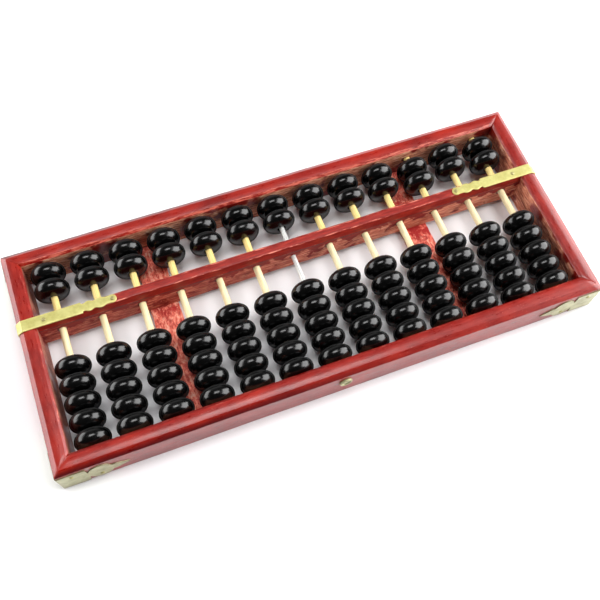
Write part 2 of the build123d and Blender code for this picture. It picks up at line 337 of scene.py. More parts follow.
# ---- shader making ----
def srgb(red, green, blue):
    """Linear colour from 0-255 display values."""
    channels = [value / 255 for value in (red, green, blue)]
    linear = [c / 12.92 if c <= 0.04045 else ((c + 0.055) / 1.055) ** 2.4 for c in channels]
    return (*linear, 1.0)


def new_material(name, **constants):
    """Material, its node tree and its Principled shader, with constants set on the shader's sockets."""
    material = bpy.data.materials.new(name)
    material.use_nodes = True
    shader = material.node_tree.nodes["Principled BSDF"]
    for socket, value in constants.items():
        shader.inputs[socket.replace("_", " ")].default_value = value
    return material, material.node_tree, shader


def put(tree, kind, inputs, **settings):
    """New node; inputs gives each named or numbered socket a value or another node's output."""
    made = tree.nodes.new("ShaderNode" + kind)
    for key, value in settings.items():
        setattr(made, key, value)
    for key, value in inputs.items():
        if isinstance(value, bpy.types.NodeSocket):
            tree.links.new(value, made.inputs[key])
        else:
            made.inputs[key].default_value = value
    return made


def placed(tree, stretch=(1, 1, 1)):
    """Coordinates on the piece in millimetres, squeezed by the stretch along each axis."""
    origin = put(tree, "TexCoord", {}).outputs["Object"]
    scale = [1 / (MM * share) for share in stretch]
    return put(tree, "Mapping", {"Vector": origin, "Scale": scale}).outputs[0]


def grain(tree, vector, wave, detail=4.0, roughness=0.55, distortion=0.0):
    """Noise whose patches are about one wave across, in millimetres."""
    settings = {"Scale": 1 / wave, "Detail": detail, "Roughness": roughness, "Distortion": distortion}
    return put(tree, "TexNoise", {"Vector": vector, **settings}).outputs[0]


def ramp(tree, factor, stops):
    """Colours or greys along a factor, from (place, colour or grey) stops."""
    made = put(tree, "ValToRGB", {"Fac": factor})
    elements = made.color_ramp.elements
    while len(elements) < len(stops):
        elements.new(0.5)
    for element, (place, colour) in zip(elements, stops):
        element.position = place
        element.color = colour if isinstance(colour, tuple) else (colour, colour, colour, 1)
    return made.outputs[0]


def between(tree, factor, low, high):
    """The factor stretched so that low to high becomes 0 to 1."""
    inputs = {"Value": factor, "From Min": low, "From Max": high}
    return put(tree, "MapRange", inputs, interpolation_type="SMOOTHSTEP").outputs[0]


def mixed(tree, factor, first, second):
    """Colour between the first and the second."""
    return put(tree, "Mix", {0: factor, 6: first, 7: second}, data_type="RGBA").outputs[2]


def combined(tree, operation, first, second):
    """Result of a math operation on two values."""
    return put(tree, "Math", {0: first, 1: second}, operation=operation).outputs[0]


def attribute(tree, name):
    """A vertex layer of the mesh, read as a value."""
    return put(tree, "Attribute", {}, attribute_name=name).outputs["Fac"]


def bump(tree, shader, height, depth):
    """Relief on the shader's normal; depth is in millimetres."""
    made = put(tree, "Bump", {"Height": height, "Strength": 1.0, "Distance": depth * MM})
    tree.links.new(made.outputs[0], shader.inputs["Normal"])


def axis_value(tree, vector, axis):
    """One coordinate of a vector."""
    return put(tree, "SeparateXYZ", {0: vector}).outputs[axis]


# ---- materials ----
def toned(tree, factor, places, colours):
    """Ramp with one colour for each place."""
    return ramp(tree, factor, list(zip(places, colours)))


def lacquered_wood(name, stretch, bare):
    """Glossy cherry-red lacquer, brushed along the rail, thin on edges and on the inner walls, with a
    painted highlight on marked inner lips, painted shade on marked chamfers and a painted shadow line
    above the bare wall.
    """
    material, tree, shader = new_material(name, Coat_Roughness=0.16)
    here = placed(tree)
    brushed = placed(tree, stretch)
    patches = grain(tree, here, 14, detail=3)
    strokes = grain(tree, brushed, 1.0, detail=5, roughness=0.7)
    specks = grain(tree, here, 0.7, detail=2)
    broad = combined(tree, "MULTIPLY", patches, 0.55)
    tone = combined(tree, "ADD", broad, combined(tree, "MULTIPLY", strokes, 0.45))
    reds = [srgb(114, 13, 7), srgb(136, 20, 9), srgb(158, 30, 12)]
    paint = toned(tree, tone, (0.36, 0.5, 0.64), reds)
    # Edge wear on the small rounded corners, and a painted highlight: the pale pink band along the back
    # and right rails' inner lips, whose tone lifts the edge mark.
    wear_and_highlight = between(tree, combined(tree, "MULTIPLY", attribute(tree, "edge"), strokes), 0.56, 0.7)
    paint = mixed(tree, wear_and_highlight, paint, srgb(196, 96, 78))
    dots = between(tree, specks, 0.68, 0.74)
    paint = mixed(tree, combined(tree, "MULTIPLY", dots, 0.35), paint, srgb(232, 150, 130))
    wall = toned(tree, strokes, (0.35, 0.52, 0.66), bare)
    bare_and_shade_mark = attribute(tree, "bare_and_shade")
    # Painted shade: lacquer darkened to deep red where the bare-wood mark is below 0, on the long rails'
    # outer chamfers and the front rail's inner lip, strongest at the left end and gone right of x = 70
    # mm.
    leftward = between(tree, axis_value(tree, here, "X"), 70, -60)
    painted_shade = combined(tree, "MULTIPLY", between(tree, bare_and_shade_mark, -0.1, -0.9), leftward)
    paint = mixed(tree, painted_shade, paint, srgb(78, 2, 4))
    scuffed = between(tree, patches, 0.42, 0.5)
    bare_and_shade = combined(tree, "MULTIPLY", between(tree, bare_and_shade_mark, 0.0, 1.0), scuffed)
    colour = mixed(tree, bare_and_shade, paint, wall)
    # Painted shadow line: dark where the bare-wood mark passes 0.5, between the painted lip and the bare
    # inner wall.
    painted_shadow_line = ramp(tree, bare_and_shade_mark, [(0.15, 0.0), (0.5, 0.75), (0.85, 0.0)])
    colour = mixed(tree, painted_shadow_line, colour, srgb(38, 12, 10))
    tree.links.new(colour, shader.inputs["Base Color"])
    sheen = ramp(tree, strokes, [(0.3, 0.24), (0.7, 0.42)])
    tree.links.new(mixed(tree, bare_and_shade, sheen, (0.7, 0.7, 0.7, 1)), shader.inputs["Roughness"])
    tree.links.new(ramp(tree, bare_and_shade, [(0.0, 0.24), (1.0, 0.0)]), shader.inputs["Coat Weight"])
    ridges = combined(tree, "MULTIPLY", strokes, 0.7)
    relief = combined(tree, "ADD", ridges, combined(tree, "MULTIPLY", specks, 0.3))
    bump(tree, shader, relief, 0.09)
    return material


def bar_wood(name):
    """Lacquer brushed unevenly over the crossbar: full near its top, bare lower down its face, with a
    painted shadow line just under its bevel.
    """
    material, tree, shader = new_material(name, Coat_Roughness=0.2)
    here = placed(tree)
    brushed = placed(tree, (7, 1, 1))
    patches = grain(tree, here, 7, detail=4, distortion=0.5)
    strokes = grain(tree, brushed, 1.0, detail=5, roughness=0.7)
    tones = [
        [srgb(110, 14, 8), srgb(136, 23, 11), srgb(164, 35, 16)],
        [srgb(128, 36, 27), srgb(190, 80, 61), srgb(228, 142, 110)],
        [srgb(160, 62, 46), srgb(222, 126, 96), srgb(246, 190, 158)],
    ]
    paint, stained, pale = [toned(tree, strokes, (0.34, 0.5, 0.66), row) for row in tones]
    rightward = between(tree, axis_value(tree, here, "X"), -60, 90)
    bare = mixed(tree, rightward, stained, pale)
    height = axis_value(tree, here, "Z")
    low_part = combined(tree, "SUBTRACT", 1.0, between(tree, height, 11.0, 19.5))
    cover = combined(tree, "ADD", combined(tree, "MULTIPLY", low_part, 0.35), patches)
    face = attribute(tree, "bare_and_shade")
    uncovered = combined(tree, "MULTIPLY", face, between(tree, cover, 0.7, 0.78))
    worn = between(tree, combined(tree, "MULTIPLY", attribute(tree, "edge"), strokes), 0.5, 0.62)
    paint = mixed(tree, worn, paint, srgb(222, 130, 110))
    # Painted shadow line: dark in the 0.5 band just under the bevel, at the top of the bare face.
    painted_shadow_line = ramp(tree, face, [(0.15, 0.0), (0.5, 0.85), (0.85, 0.0)])
    colour = mixed(tree, painted_shadow_line, mixed(tree, uncovered, paint, bare), srgb(46, 12, 10))
    tree.links.new(colour, shader.inputs["Base Color"])
    gloss = ramp(tree, strokes, [(0.3, 0.28), (0.7, 0.5)])
    tree.links.new(mixed(tree, face, gloss, (0.8, 0.8, 0.8, 1)), shader.inputs["Roughness"])
    tree.links.new(ramp(tree, face, [(0.0, 0.3), (1.0, 0.0)]), shader.inputs["Coat Weight"])
    bump(tree, shader, strokes, 0.1)
    return material


def rough_slat(name, redness):
    """Sawn wood under a thin red stain, streaked along its length."""
    material, tree, shader = new_material(name)
    here = placed(tree)
    sawn = placed(tree, (1, 2.5, 1))
    streaks = grain(tree, sawn, 1.5, detail=5, roughness=0.75)
    blots = grain(tree, here, 4.5, detail=5, roughness=0.75, distortion=0.6)
    corals = [srgb(166, 34, 27), srgb(242, 112, 90), srgb(255, 188, 162)]
    stain = toned(tree, streaks, (0.36, 0.5, 0.62), corals)
    red = srgb(176, 16, 13)
    along = between(tree, axis_value(tree, here, "Y"), BAR_LOW.y / MM - 16, BAR_HIGH.y / MM + 4)
    by_the_bar = ramp(tree, along, [(0.1, 0.0), (0.45, 1.0), (0.7, 1.0), (0.95, 0.0)])
    spread = combined(tree, "ADD", blots, combined(tree, "MULTIPLY", by_the_bar, 0.25 * redness))
    dark = between(tree, spread, 0.6 - 0.18 * redness, 0.78 - 0.18 * redness)
    tree.links.new(mixed(tree, dark, stain, red), shader.inputs["Base Color"])
    tree.links.new(ramp(tree, blots, [(0.3, 0.75), (0.7, 0.5)]), shader.inputs["Roughness"])
    bump(tree, shader, streaks, 0.3)
    return material


def split_bamboo(name):
    """Smooth pale bamboo, cream in the lower deck and yellower in the upper one, with fine fibres."""
    material, tree, shader = new_material(name, Coat_Weight=0.1, Coat_Roughness=0.3)
    here = placed(tree)
    fibres = grain(tree, placed(tree, (1, 30, 1)), 0.45, detail=4, roughness=0.6)
    stains = grain(tree, placed(tree, (1, 3, 1)), 7, detail=3)
    cream = ramp(tree, fibres, [(0.3, srgb(222, 200, 148)), (0.7, srgb(244, 230, 188))])
    yellow = ramp(tree, fibres, [(0.3, srgb(222, 190, 104)), (0.7, srgb(250, 230, 156))])
    deck = between(tree, axis_value(tree, here, "Y"), BAR_LOW.y / MM - 2, BAR_HIGH.y / MM + 4)
    wood = mixed(tree, deck, cream, yellow)
    stained = combined(tree, "MULTIPLY", between(tree, stains, 0.55, 0.75), 0.35)
    wood = mixed(tree, stained, wood, srgb(206, 164, 96))
    tree.links.new(wood, shader.inputs["Base Color"])
    tree.links.new(ramp(tree, fibres, [(0.3, 0.45), (0.7, 0.6)]), shader.inputs["Roughness"])
    bump(tree, shader, fibres, 0.06)
    return material


def drawn_steel(name):
    """Bright steel wire with fine draw marks along it."""
    material, tree, shader = new_material(name, Metallic=0.25)
    marks = grain(tree, placed(tree, (1, 40, 1)), 0.3, detail=3)
    silver = ramp(tree, marks, [(0.3, srgb(206, 207, 206)), (0.7, srgb(238, 238, 232))])
    tree.links.new(silver, shader.inputs["Base Color"])
    tree.links.new(ramp(tree, marks, [(0.3, 0.22), (0.7, 0.38)]), shader.inputs["Roughness"])
    bump(tree, shader, marks, 0.02)
    return material


def stamped_brass(name, pale, deep, rim):
    """Thin rolled brass, dulled in patches, with its pressed edges toned towards the rim colour."""
    material, tree, shader = new_material(name, Metallic=0.25)
    here = placed(tree)
    dull = grain(tree, here, 5, detail=5, roughness=0.6)
    fine = grain(tree, here, 0.6, detail=3)
    colour = ramp(tree, dull, [(0.32, deep), (0.6, pale)])
    # The rim colour follows the pressed edges; on the brackets it is dark, a painted shadow line with
    # some tarnish.
    colour = mixed(tree, combined(tree, "MULTIPLY", attribute(tree, "edge"), 0.9), colour, rim)
    tree.links.new(colour, shader.inputs["Base Color"])
    tree.links.new(ramp(tree, dull, [(0.3, 0.42), (0.7, 0.28)]), shader.inputs["Roughness"])
    bump(tree, shader, combined(tree, "ADD", dull, combined(tree, "MULTIPLY", fine, 0.3)), 0.12)
    return material


def polished_black(name):
    """Black bead, polished to a high gloss with faint smears, duller seen edge on."""
    material, tree, shader = new_material(name)
    here = placed(tree)
    smears = grain(tree, here, 4, detail=4, roughness=0.6, distortion=0.8)
    fine = grain(tree, here, 0.5, detail=2)
    black = ramp(tree, smears, [(0.3, srgb(1, 1, 1)), (0.7, srgb(5, 5, 5))])
    tree.links.new(black, shader.inputs["Base Color"])
    gloss = ramp(tree, smears, [(0.35, 0.17), (0.7, 0.25)])
    edge_on = put(tree, "LayerWeight", {"Blend": 0.5}).outputs["Facing"]
    dull = between(tree, edge_on, 0.45, 0.75)
    tree.links.new(mixed(tree, dull, gloss, (0.85, 0.85, 0.85, 1)), shader.inputs["Roughness"])
    bump(tree, shader, combined(tree, "ADD", smears, combined(tree, "MULTIPLY", fine, 0.1)), 0.03)
    return material


def pale_floor(name):
    """Matt white table, very slightly mottled."""
    material, tree, shader = new_material(name)
    mottle = grain(tree, placed(tree), 60, detail=3)
    white = ramp(tree, mottle, [(0.3, srgb(246, 246, 248)), (0.7, srgb(250, 250, 251))])
    tree.links.new(white, shader.inputs["Base Color"])
    tree.links.new(ramp(tree, mottle, [(0.3, 0.7), (0.7, 0.8)]), shader.inputs["Roughness"])
    return material


# ---- rails ----
def rail_section(chamfer_tone, lip_tone):
    """(across, height, edge, bare wood and shade) points of a rail's section, across counted from its
    outer face.
    The last is 1 on the bare inner wall. A tone above 0 pales the outer chamfer or the inner lip as a
    painted highlight, and a tone below 0 darkens it as painted shade."""
    outer_run, outer_drop = OUTER_CHAMFER
    inner_run, inner_drop = INNER_CHAMFER
    shoulder = RAIL_TOP - RAIL_CROWN
    corners = [
        (0, 0, 0.5 * MM),
        (RAIL_WIDTH, 0, 0.5 * MM),
        (RAIL_WIDTH, shoulder - inner_drop, 0.5 * MM),
        (RAIL_WIDTH - inner_run, shoulder, 0.6 * MM),
        ((RAIL_WIDTH + outer_run - inner_run) / 2, RAIL_TOP, 9 * MM),
        (outer_run, shoulder, 0.25 * MM),
        (0, RAIL_TOP - outer_drop, 0.35 * MM),
    ]
    section = []
    for point, edge in rounded_ring(corners, 5, 1.4 * MM):
        # Tone of this point: a chamfer tone below 0 grows down the chamfer as painted shade; a lip tone
        # above 0 is a painted highlight, below 0 painted shade.
        tone = 0.0
        if point.x < outer_run + 0.05 * MM and point.y > RAIL_TOP - outer_drop - 0.1 * MM:
            tone = chamfer_tone * min(1.0, (RAIL_TOP - point.y) / outer_drop)
        elif point.x > RAIL_WIDTH - inner_run - 0.1 * MM and point.y > shoulder - inner_drop:
            tone = lip_tone
        on_wall = point.x > RAIL_WIDTH - 0.2 * MM and point.y < shoulder - inner_drop
        # 1 on the bare wall; elsewhere a tone below 0 is kept as painted shade.
        bare_and_shade = 1.0 if on_wall else min(tone, 0.0)
        section.append((point.x, point.y, max(edge, tone), bare_and_shade))
    return section


def shares_along(half, step):
    """Stations from -1 to 1 along a rail, with extra ones just inside its ends."""
    count = math.ceil(2 * half / step)
    near = 1 - 0.5 * MM / half
    inner = [-near + 2 * near * k / count for k in range(count + 1)]
    return [-1.0, *inner, 1.0]


def mitred_rail(name, half, place, material):
    """Rail lofted between two mitred ends; place turns (along, across, height) into a point."""
    section = rail_section(*RAIL_TONES[name])
    centre = (RAIL_WIDTH / 2, RAIL_TOP / 2)
    bm = new_mesh()
    sections = []
    for share in shares_along(half, RAIL_STEP):
        groove = MITRE_GROOVE if abs(share) == 1.0 else 0.0
        ring = []
        for across, height, edge, bare_and_shade in section:
            across += math.copysign(min(groove, abs(centre[0] - across)), centre[0] - across)
            height += math.copysign(min(groove, abs(centre[1] - height)), centre[1] - height)
            point = place(share * (half - across), across, height)
            point = wobble(wobble(point, *RAIL_WAVE), *RAIL_RIPPLE)
            point.z = max(point.z, 0.0)
            ring.append((point, edge, bare_and_shade))
        sections.append(ring)
    loft(bm, sections)
    return piece(name, bm, material, "frame", [name])


def rod_holes(y_from, y_to):
    """Cutter with a hole for every rod."""
    bm = new_mesh()
    for number, x in ROD_X.items():
        radius = (TIE_RADIUS if number == TIE_ROD else ROD_RADIUS) + HOLE_CLEARANCE
        place = Matrix.Translation((x, y_from, ROD_Z)) @ Matrix.Rotation(-math.pi / 2, 4, "X")
        turned(bm, [(radius, 0), (radius, y_to - y_from)], HOLE_SIDES, place)
    return bm


def slat_notches(side):
    """Cutter for the slats' laps under the front rail (side -1) or the back rail (side 1)."""
    bm = new_mesh()
    for node in ("left_slat", "right_slat"):
        low, high = span(node)
        start = side * (INNER_Y - 1 * MM)
        end = side * (high.y + 0.1 * MM)
        size = Vector((high.x - low.x + 0.3 * MM, abs(end - start), 2 * high.z + 0.3 * MM))
        centre = Vector(((low.x + high.x) / 2, (start + end) / 2, 0))
        bmesh.ops.create_cube(bm, size=1, matrix=Matrix.LocRotScale(centre, None, size))
    return bm


def make_rails(long_wood, left_wood, right_wood):
    """The four rails, the long ones bored for the rods and notched for the slats."""
    places = {
        "front_rail": lambda along, across, height: Vector((along, across - HALF_DEPTH, height)),
        "back_rail": lambda along, across, height: Vector((along, HALF_DEPTH - across, height)),
        "left_rail": lambda along, across, height: Vector((across - HALF_LENGTH, along, height)),
        "right_rail": lambda along, across, height: Vector((HALF_LENGTH - across, along, height)),
    }
    front = mitred_rail("front_rail", HALF_LENGTH, places["front_rail"], long_wood)
    cut(front, rod_holes(-INNER_Y - SOCKET_DEPTH, -INNER_Y + 1 * MM))
    cut(front, slat_notches(-1))
    back = mitred_rail("back_rail", HALF_LENGTH, places["back_rail"], long_wood)
    cut(back, rod_holes(INNER_Y - 1 * MM, INNER_Y + SOCKET_DEPTH))
    cut(back, slat_notches(1))
    mitred_rail("left_rail", HALF_DEPTH, places["left_rail"], left_wood)
    mitred_rail("right_rail", HALF_DEPTH, places["right_rail"], right_wood)


# ---- crossbar and slats ----
def make_crossbar(material):
    """Bar with a bevelled front top edge and a bare front face, bored for the rods."""
    run, drop = BAR_BEVEL
    width = BAR_HIGH.y - BAR_LOW.y
    corners = [
        (0, BAR_LOW.z, 0.4 * MM),
        (width, BAR_LOW.z, 0.4 * MM),
        (width, RAIL_TOP - 0.9 * MM, 0.5 * MM),
        (width - 0.9 * MM, RAIL_TOP - 0.1 * MM, 0.5 * MM),
        (run, RAIL_TOP - 0.1 * MM, 0.4 * MM),
        (0, RAIL_TOP - drop, 0.3 * MM),
    ]
    ring = rounded_ring(corners, 4, 1.2 * MM)
    bm = new_mesh()
    sections = []
    for k in range(BAR_SECTIONS + 1):
        x = -INNER_X + 2 * INNER_X * k / BAR_SECTIONS
        section = []
        for point, edge in ring:
            spot = Vector((x, BAR_LOW.y + point.x, point.y))
            spot = wobble(wobble(spot, *BAR_WAVE, 3.0), *BAR_RIPPLE, 5.0)
            bare_and_shade = 0.0
            # Below the bevel the face is bare (1); its top 0.4 mm is 0.5, which the material paints as a
            # dark shadow line.
            if point.x < 0.2 * MM and point.y < RAIL_TOP - drop:
                bare_and_shade = 0.5 if point.y > RAIL_TOP - drop - 0.4 * MM else 1.0
            section.append((spot, edge, bare_and_shade))
        sections.append(section)
    loft(bm, sections)
    bar = piece("crossbar", bm, material, "frame", ["crossbar"])
    cut(bar, rod_holes(BAR_LOW.y - 2 * MM, BAR_HIGH.y + 2 * MM))


def make_slat(node, material, seed):
    """Roughly sawn slat under the rods."""
    low, high = span(node)
    corners = [
        (low.x, low.z, 0.3 * MM),
        (high.x, low.z, 0.3 * MM),
        (high.x, high.z, 0.5 * MM),
        (low.x, high.z, 0.5 * MM),
    ]
    ring = rounded_ring(corners, 3, 0.9 * MM)
    bm = new_mesh()
    sections = []
    for k in range(SLAT_SECTIONS + 1):
        y = low.y + (high.y - low.y) * k / SLAT_SECTIONS
        section = []
        for point, edge in ring:
            spot = Vector((point.x, y, point.y))
            rough = wobble(wobble(spot, *SLAT_WAVE, seed), *SLAT_RIPPLE, seed)
            rough.z = max(rough.z, 0.02 * MM)
            section.append((rough, edge, 0.0))
        sections.append(section)
    loft(bm, sections)
    piece(node, bm, material, "frame", [node])


# ---- rods ----
def make_bamboo_rods(material, rng):
    """Twelve slightly uneven rods, each with one faint joint of the cane."""
    end = INNER_Y + BAMBOO_SOCKET
    for number, x in ROD_X.items():
        if number == TIE_ROD:
            continue
        node = "left_bamboo_rods" if number < TIE_ROD else "right_bamboo_rods"
        seed = rng.uniform(0, 50)
        joint = rng.uniform(-0.6, 0.9) * INNER_Y
        bow = rng.uniform(-BAMBOO_BOW, BAMBOO_BOW) * MM
        bm = new_mesh()
        sections = []
        for k in range(BAMBOO_SECTIONS + 1):
            y = -end + 2 * end * k / BAMBOO_SECTIONS
            swell = BAMBOO_JOINT_SWELL * math.exp(-(((y - joint) / BAMBOO_JOINT_REACH) ** 2))
            sag = bow * math.cos(math.pi * y / (2 * end))
            ring = []
            for step in range(BAMBOO_SIDES):
                angle = 2 * math.pi * step / BAMBOO_SIDES
                around = Vector((math.cos(angle), math.sin(angle), y / BAMBOO_FACET_LENGTH))
                facet = noise.noise(around + Vector((seed, 0, 0)))
                radius = ROD_RADIUS * (0.985 + 0.05 * facet) + swell
                spot = Vector((x + sag + radius * math.cos(angle), y, ROD_Z + radius * math.sin(angle)))
                ring.append((spot, 0.0, 0.0))
            sections.append(ring)
        loft(bm, sections)
        piece(f"bamboo_rod_{number:02d}", bm, material, "frame", [node])


def make_tie_rod(material):
    """Drawn steel rod through the middle place, its thickness a little uneven."""
    bm = new_mesh()
    place = Matrix.Translation((ROD_X[TIE_ROD], 0, ROD_Z)) @ Matrix.Rotation(-math.pi / 2, 4, "X")
    end = HALF_DEPTH - TIE_INSET
    outline = []
    for k in range(TIE_SECTIONS + 1):
        radius = TIE_RADIUS * (1 + 0.01 * math.sin(k))
        outline.append((radius, -end + 2 * end * k / TIE_SECTIONS))
    turned(bm, outline, TIE_SIDES, place)
    piece("tie_rod", bm, material, "frame", ["tie_rod"])


def make_tie_heads(material):
    """Round heads on both long faces: a dished disc inside a raised rim."""
    radius = (HEAD_HIGH.x - HEAD_LOW.x) / 2
    height = HEAD_HIGH.y - HEAD_LOW.y
    outline = [
        (0.02 * MM, 0.62 * height),
        (0.30 * radius, 0.60 * height),
        (0.55 * radius, 0.48 * height),
        (0.64 * radius, 0.42 * height),
        (0.70 * radius, 0.70 * height),
        (0.77 * radius, 0.95 * height),
        (0.86 * radius, 1.00 * height),
        (0.95 * radius, 0.90 * height),
        (1.00 * radius, 0.60 * height),
        (1.00 * radius, 0.02 * height),
        (0.96 * radius, -0.05 * height),
    ]
    for node, side in (("tie_rod_front_head", -1), ("tie_rod_back_nut", 1)):
        bm = new_mesh()
        turn = Matrix.Rotation(-side * math.pi / 2, 4, "X")
        place = Matrix.Translation((ROD_X[TIE_ROD], side * HALF_DEPTH, ROD_Z)) @ turn
        turned(bm, outline, HEAD_SIDES, place)
        piece(node, bm, material, "frame", [node], sharp_degrees=60)


# ---- beads ----
def bead_outline(radius, thickness):
    """Closed (radius, height) outline of a bead: rounded crown and a bore with eased mouths."""
    half = thickness / 2
    flat = BORE_RADIUS + BORE_MOUTH
    outline = []
    for k in range(BEAD_STEPS + 1):
        angle = math.pi * (k / BEAD_STEPS - 0.5)
        bulge = math.copysign(abs(math.sin(angle)) ** 0.94, angle)
        outline.append((flat + (radius - flat) * math.cos(angle) ** 0.9, half * bulge))
    outline.append((BORE_RADIUS + 0.08 * MM, half - 0.06 * MM))
    outline.append((BORE_RADIUS, half - BORE_MOUTH))
    outline.append((BORE_RADIUS, BORE_MOUTH - half))
    outline.append((BORE_RADIUS + 0.08 * MM, 0.06 * MM - half))
    return outline


def add_bead(bm, centre, rng):
    """One hand-turned bead, a little different from its neighbours."""
    radius = BEAD_RADIUS * rng.uniform(*BEAD_RADIUS_SHARE)
    thickness = BEAD_THICKNESS * rng.uniform(*BEAD_THICKNESS_SHARE)
    hang = Vector((rng.uniform(*BEAD_SIDE_PLAY) * MM, 0, rng.uniform(*BEAD_HANG) * MM))
    lean = Matrix.Rotation(math.radians(rng.uniform(*BEAD_TILT)), 4, "X")
    lean = lean @ Matrix.Rotation(math.radians(rng.uniform(*BEAD_TILT)), 4, "Z")
    place = Matrix.Translation(centre + hang) @ lean @ Matrix.Rotation(-math.pi / 2, 4, "X")
    turned(bm, bead_outline(radius, thickness), BEAD_SIDES, place, closed=True)


def make_beads(material, rng):
    """Five beads a rod in one piece in front of the crossbar, two single ones behind it."""
    for number in range(1, ROD_COUNT + 1):
        stack = f"lower_beads_{number:02d}"
        low, high = span(stack)
        pitch = (high.y - low.y - BEAD_THICKNESS) / (LOWER_COUNT - 1)
        bm = new_mesh()
        for index in range(LOWER_COUNT):
            y = low.y + BEAD_THICKNESS / 2 + index * pitch
            add_bead(bm, Vector((ROD_X[number], y, ROD_Z)), rng)
        piece(stack, bm, material, f"lower_stack_{number:02d}", [stack], sharp_degrees=70)
        for node in (f"upper_far_bead_{number:02d}", f"upper_near_bead_{number:02d}"):
            bm = new_mesh()
            add_bead(bm, middle(node), rng)
            piece(node, bm, material, f"upper_pair_{number:02d}", [node], sharp_degrees=70)


# ---- brass fittings ----
def add_plate(bm, path, normals, side, half_widths):
    """Thin plate along a path: side is the direction of its width, with softly pressed edges."""
    lanes = [-1.0, -0.97, -0.9, -0.6, -0.2, 0.2, 0.6, 0.9, 0.97, 1.0]
    sections = []
    for point, normal, half in zip(path, normals, half_widths):
        half = max(half, 0.03 * MM)
        ring = []
        for lane in lanes:
            margin = half * (1 - abs(lane))
            press = 0.35 * SHEET * max(0.0, 1 - margin / (0.3 * MM)) ** 2
            edge = max(0.0, 1 - margin / (0.45 * MM))
            ring.append((point + side * half * lane + normal * (SHEET - press), edge, 0.0))
        for lane in reversed(lanes):
            ring.append((point + side * half * lane, 0.0, 0.0))
        sections.append(ring)
    loft(bm, sections)


def path_frame(path, side):
    """Distances along the path and its normals, square to the given side direction."""
    distances = [0.0]
    for start, end in zip(path, path[1:]):
        distances.append(distances[-1] + (end - start).length)
    normals = []
    for i in range(len(path)):
        tangent = path[min(i + 1, len(path) - 1)] - path[max(i - 1, 0)]
        normals.append(side.cross(tangent).normalized())
    return distances, normals


def lobe(distance, centre, half_run, half_width):
    """Half width of an ellipse that lies across the plate's line, 0 beyond its ends."""
    share = (distance - centre) / half_run
    return half_width * math.sqrt(1 - share * share) if abs(share) < 1 else 0.0


def strap_half_width(distance):
    """Half width of a strap at a distance from the frame's outer face."""
    if distance <= STRAP_STRAIGHT:
        return STRAP_HALF_WIDTH
    web = STRAP_WEB if distance < STRAP_LOBES[-1][0] else 0.0
    return max(web, *[lobe(distance, *shape) for shape in STRAP_LOBES])


def make_strap(node, side_x, material):
    """Strap from the crossbar over the rail and down its outer face."""
    centre_y = middle(node).y
    run, drop = OUTER_CHAMFER
    tip = HALF_LENGTH - STRAP_LOBES[-1][0] - STRAP_LOBES[-1][1]
    corners = [
        Vector((side_x * tip, centre_y, RAIL_TOP)),
        Vector((side_x * (HALF_LENGTH - run), centre_y, RAIL_TOP)),
        Vector((side_x * HALF_LENGTH, centre_y, RAIL_TOP - drop)),
        Vector((side_x * HALF_LENGTH, centre_y, STRAP_LEG_BOTTOM)),
    ]
    path = rounded_path(corners, 0.8 * MM, 5, PLATE_STEP)
    across = Vector((0, -side_x, 0))
    _, normals = path_frame(path, across)
    widths = [strap_half_width(HALF_LENGTH - abs(point.x)) for point in path]
    bm = new_mesh()
    add_plate(bm, path, normals, across, widths)
    piece(node, bm, material, "frame", [node], sharp_degrees=55)


def bracket_half_height(distance):
    """Half height of a bracket's leg at a distance from the corner."""
    if distance <= BRACKET_STRAIGHT:
        return BRACKET_HALF_HEIGHT
    lobe_centre, lobe_radius, lobe_offset = BRACKET_LOBE
    neck_end, neck_half = BRACKET_NECK
    bulge = lobe(distance, lobe_centre, lobe_radius, lobe_radius)
    if bulge > 0:
        bulge += lobe_offset
    taper = neck_half * min(1.0, (BRACKET_TIP - distance) / (BRACKET_TIP - neck_end))
    return max(bulge, taper)


def make_bracket(node, side_x, side_y, material):
    """Two leaf-ended legs folded round a vertical corner of the frame."""
    height = middle(node).z
    corners = [
        Vector((side_x * (HALF_LENGTH - BRACKET_TIP), side_y * HALF_DEPTH, height)),
        Vector((side_x * HALF_LENGTH, side_y * HALF_DEPTH, height)),
        Vector((side_x * HALF_LENGTH, side_y * (HALF_DEPTH - BRACKET_TIP), height)),
    ]
    path = rounded_path(corners, 0.5 * MM, 5, PLATE_STEP)
    up = Vector((0, 0, side_x * side_y))
    distances, normals = path_frame(path, up)
    half_way = distances[-1] / 2
    heights = [bracket_half_height(abs(distance - half_way)) for distance in distances]
    bm = new_mesh()
    add_plate(bm, path, normals, up, heights)
    piece(node, bm, material, "frame", [node], sharp_degrees=55)


def add_nail(bm, spot, outward):
    """Low domed head with its rim let into the sheet."""
    outline = [(NAIL_RADIUS, -0.1 * MM)]
    for k in range(NAIL_STEPS + 1):
        angle = k / NAIL_STEPS * math.pi / 2
        outline.append((max(NAIL_RADIUS * math.cos(angle), 0.02 * MM), NAIL_HEIGHT * math.sin(angle)))
    turn = Vector((0, 0, 1)).rotation_difference(outward).to_matrix().to_4x4()
    turned(bm, outline, NAIL_SIDES, Matrix.Translation(spot) @ turn)


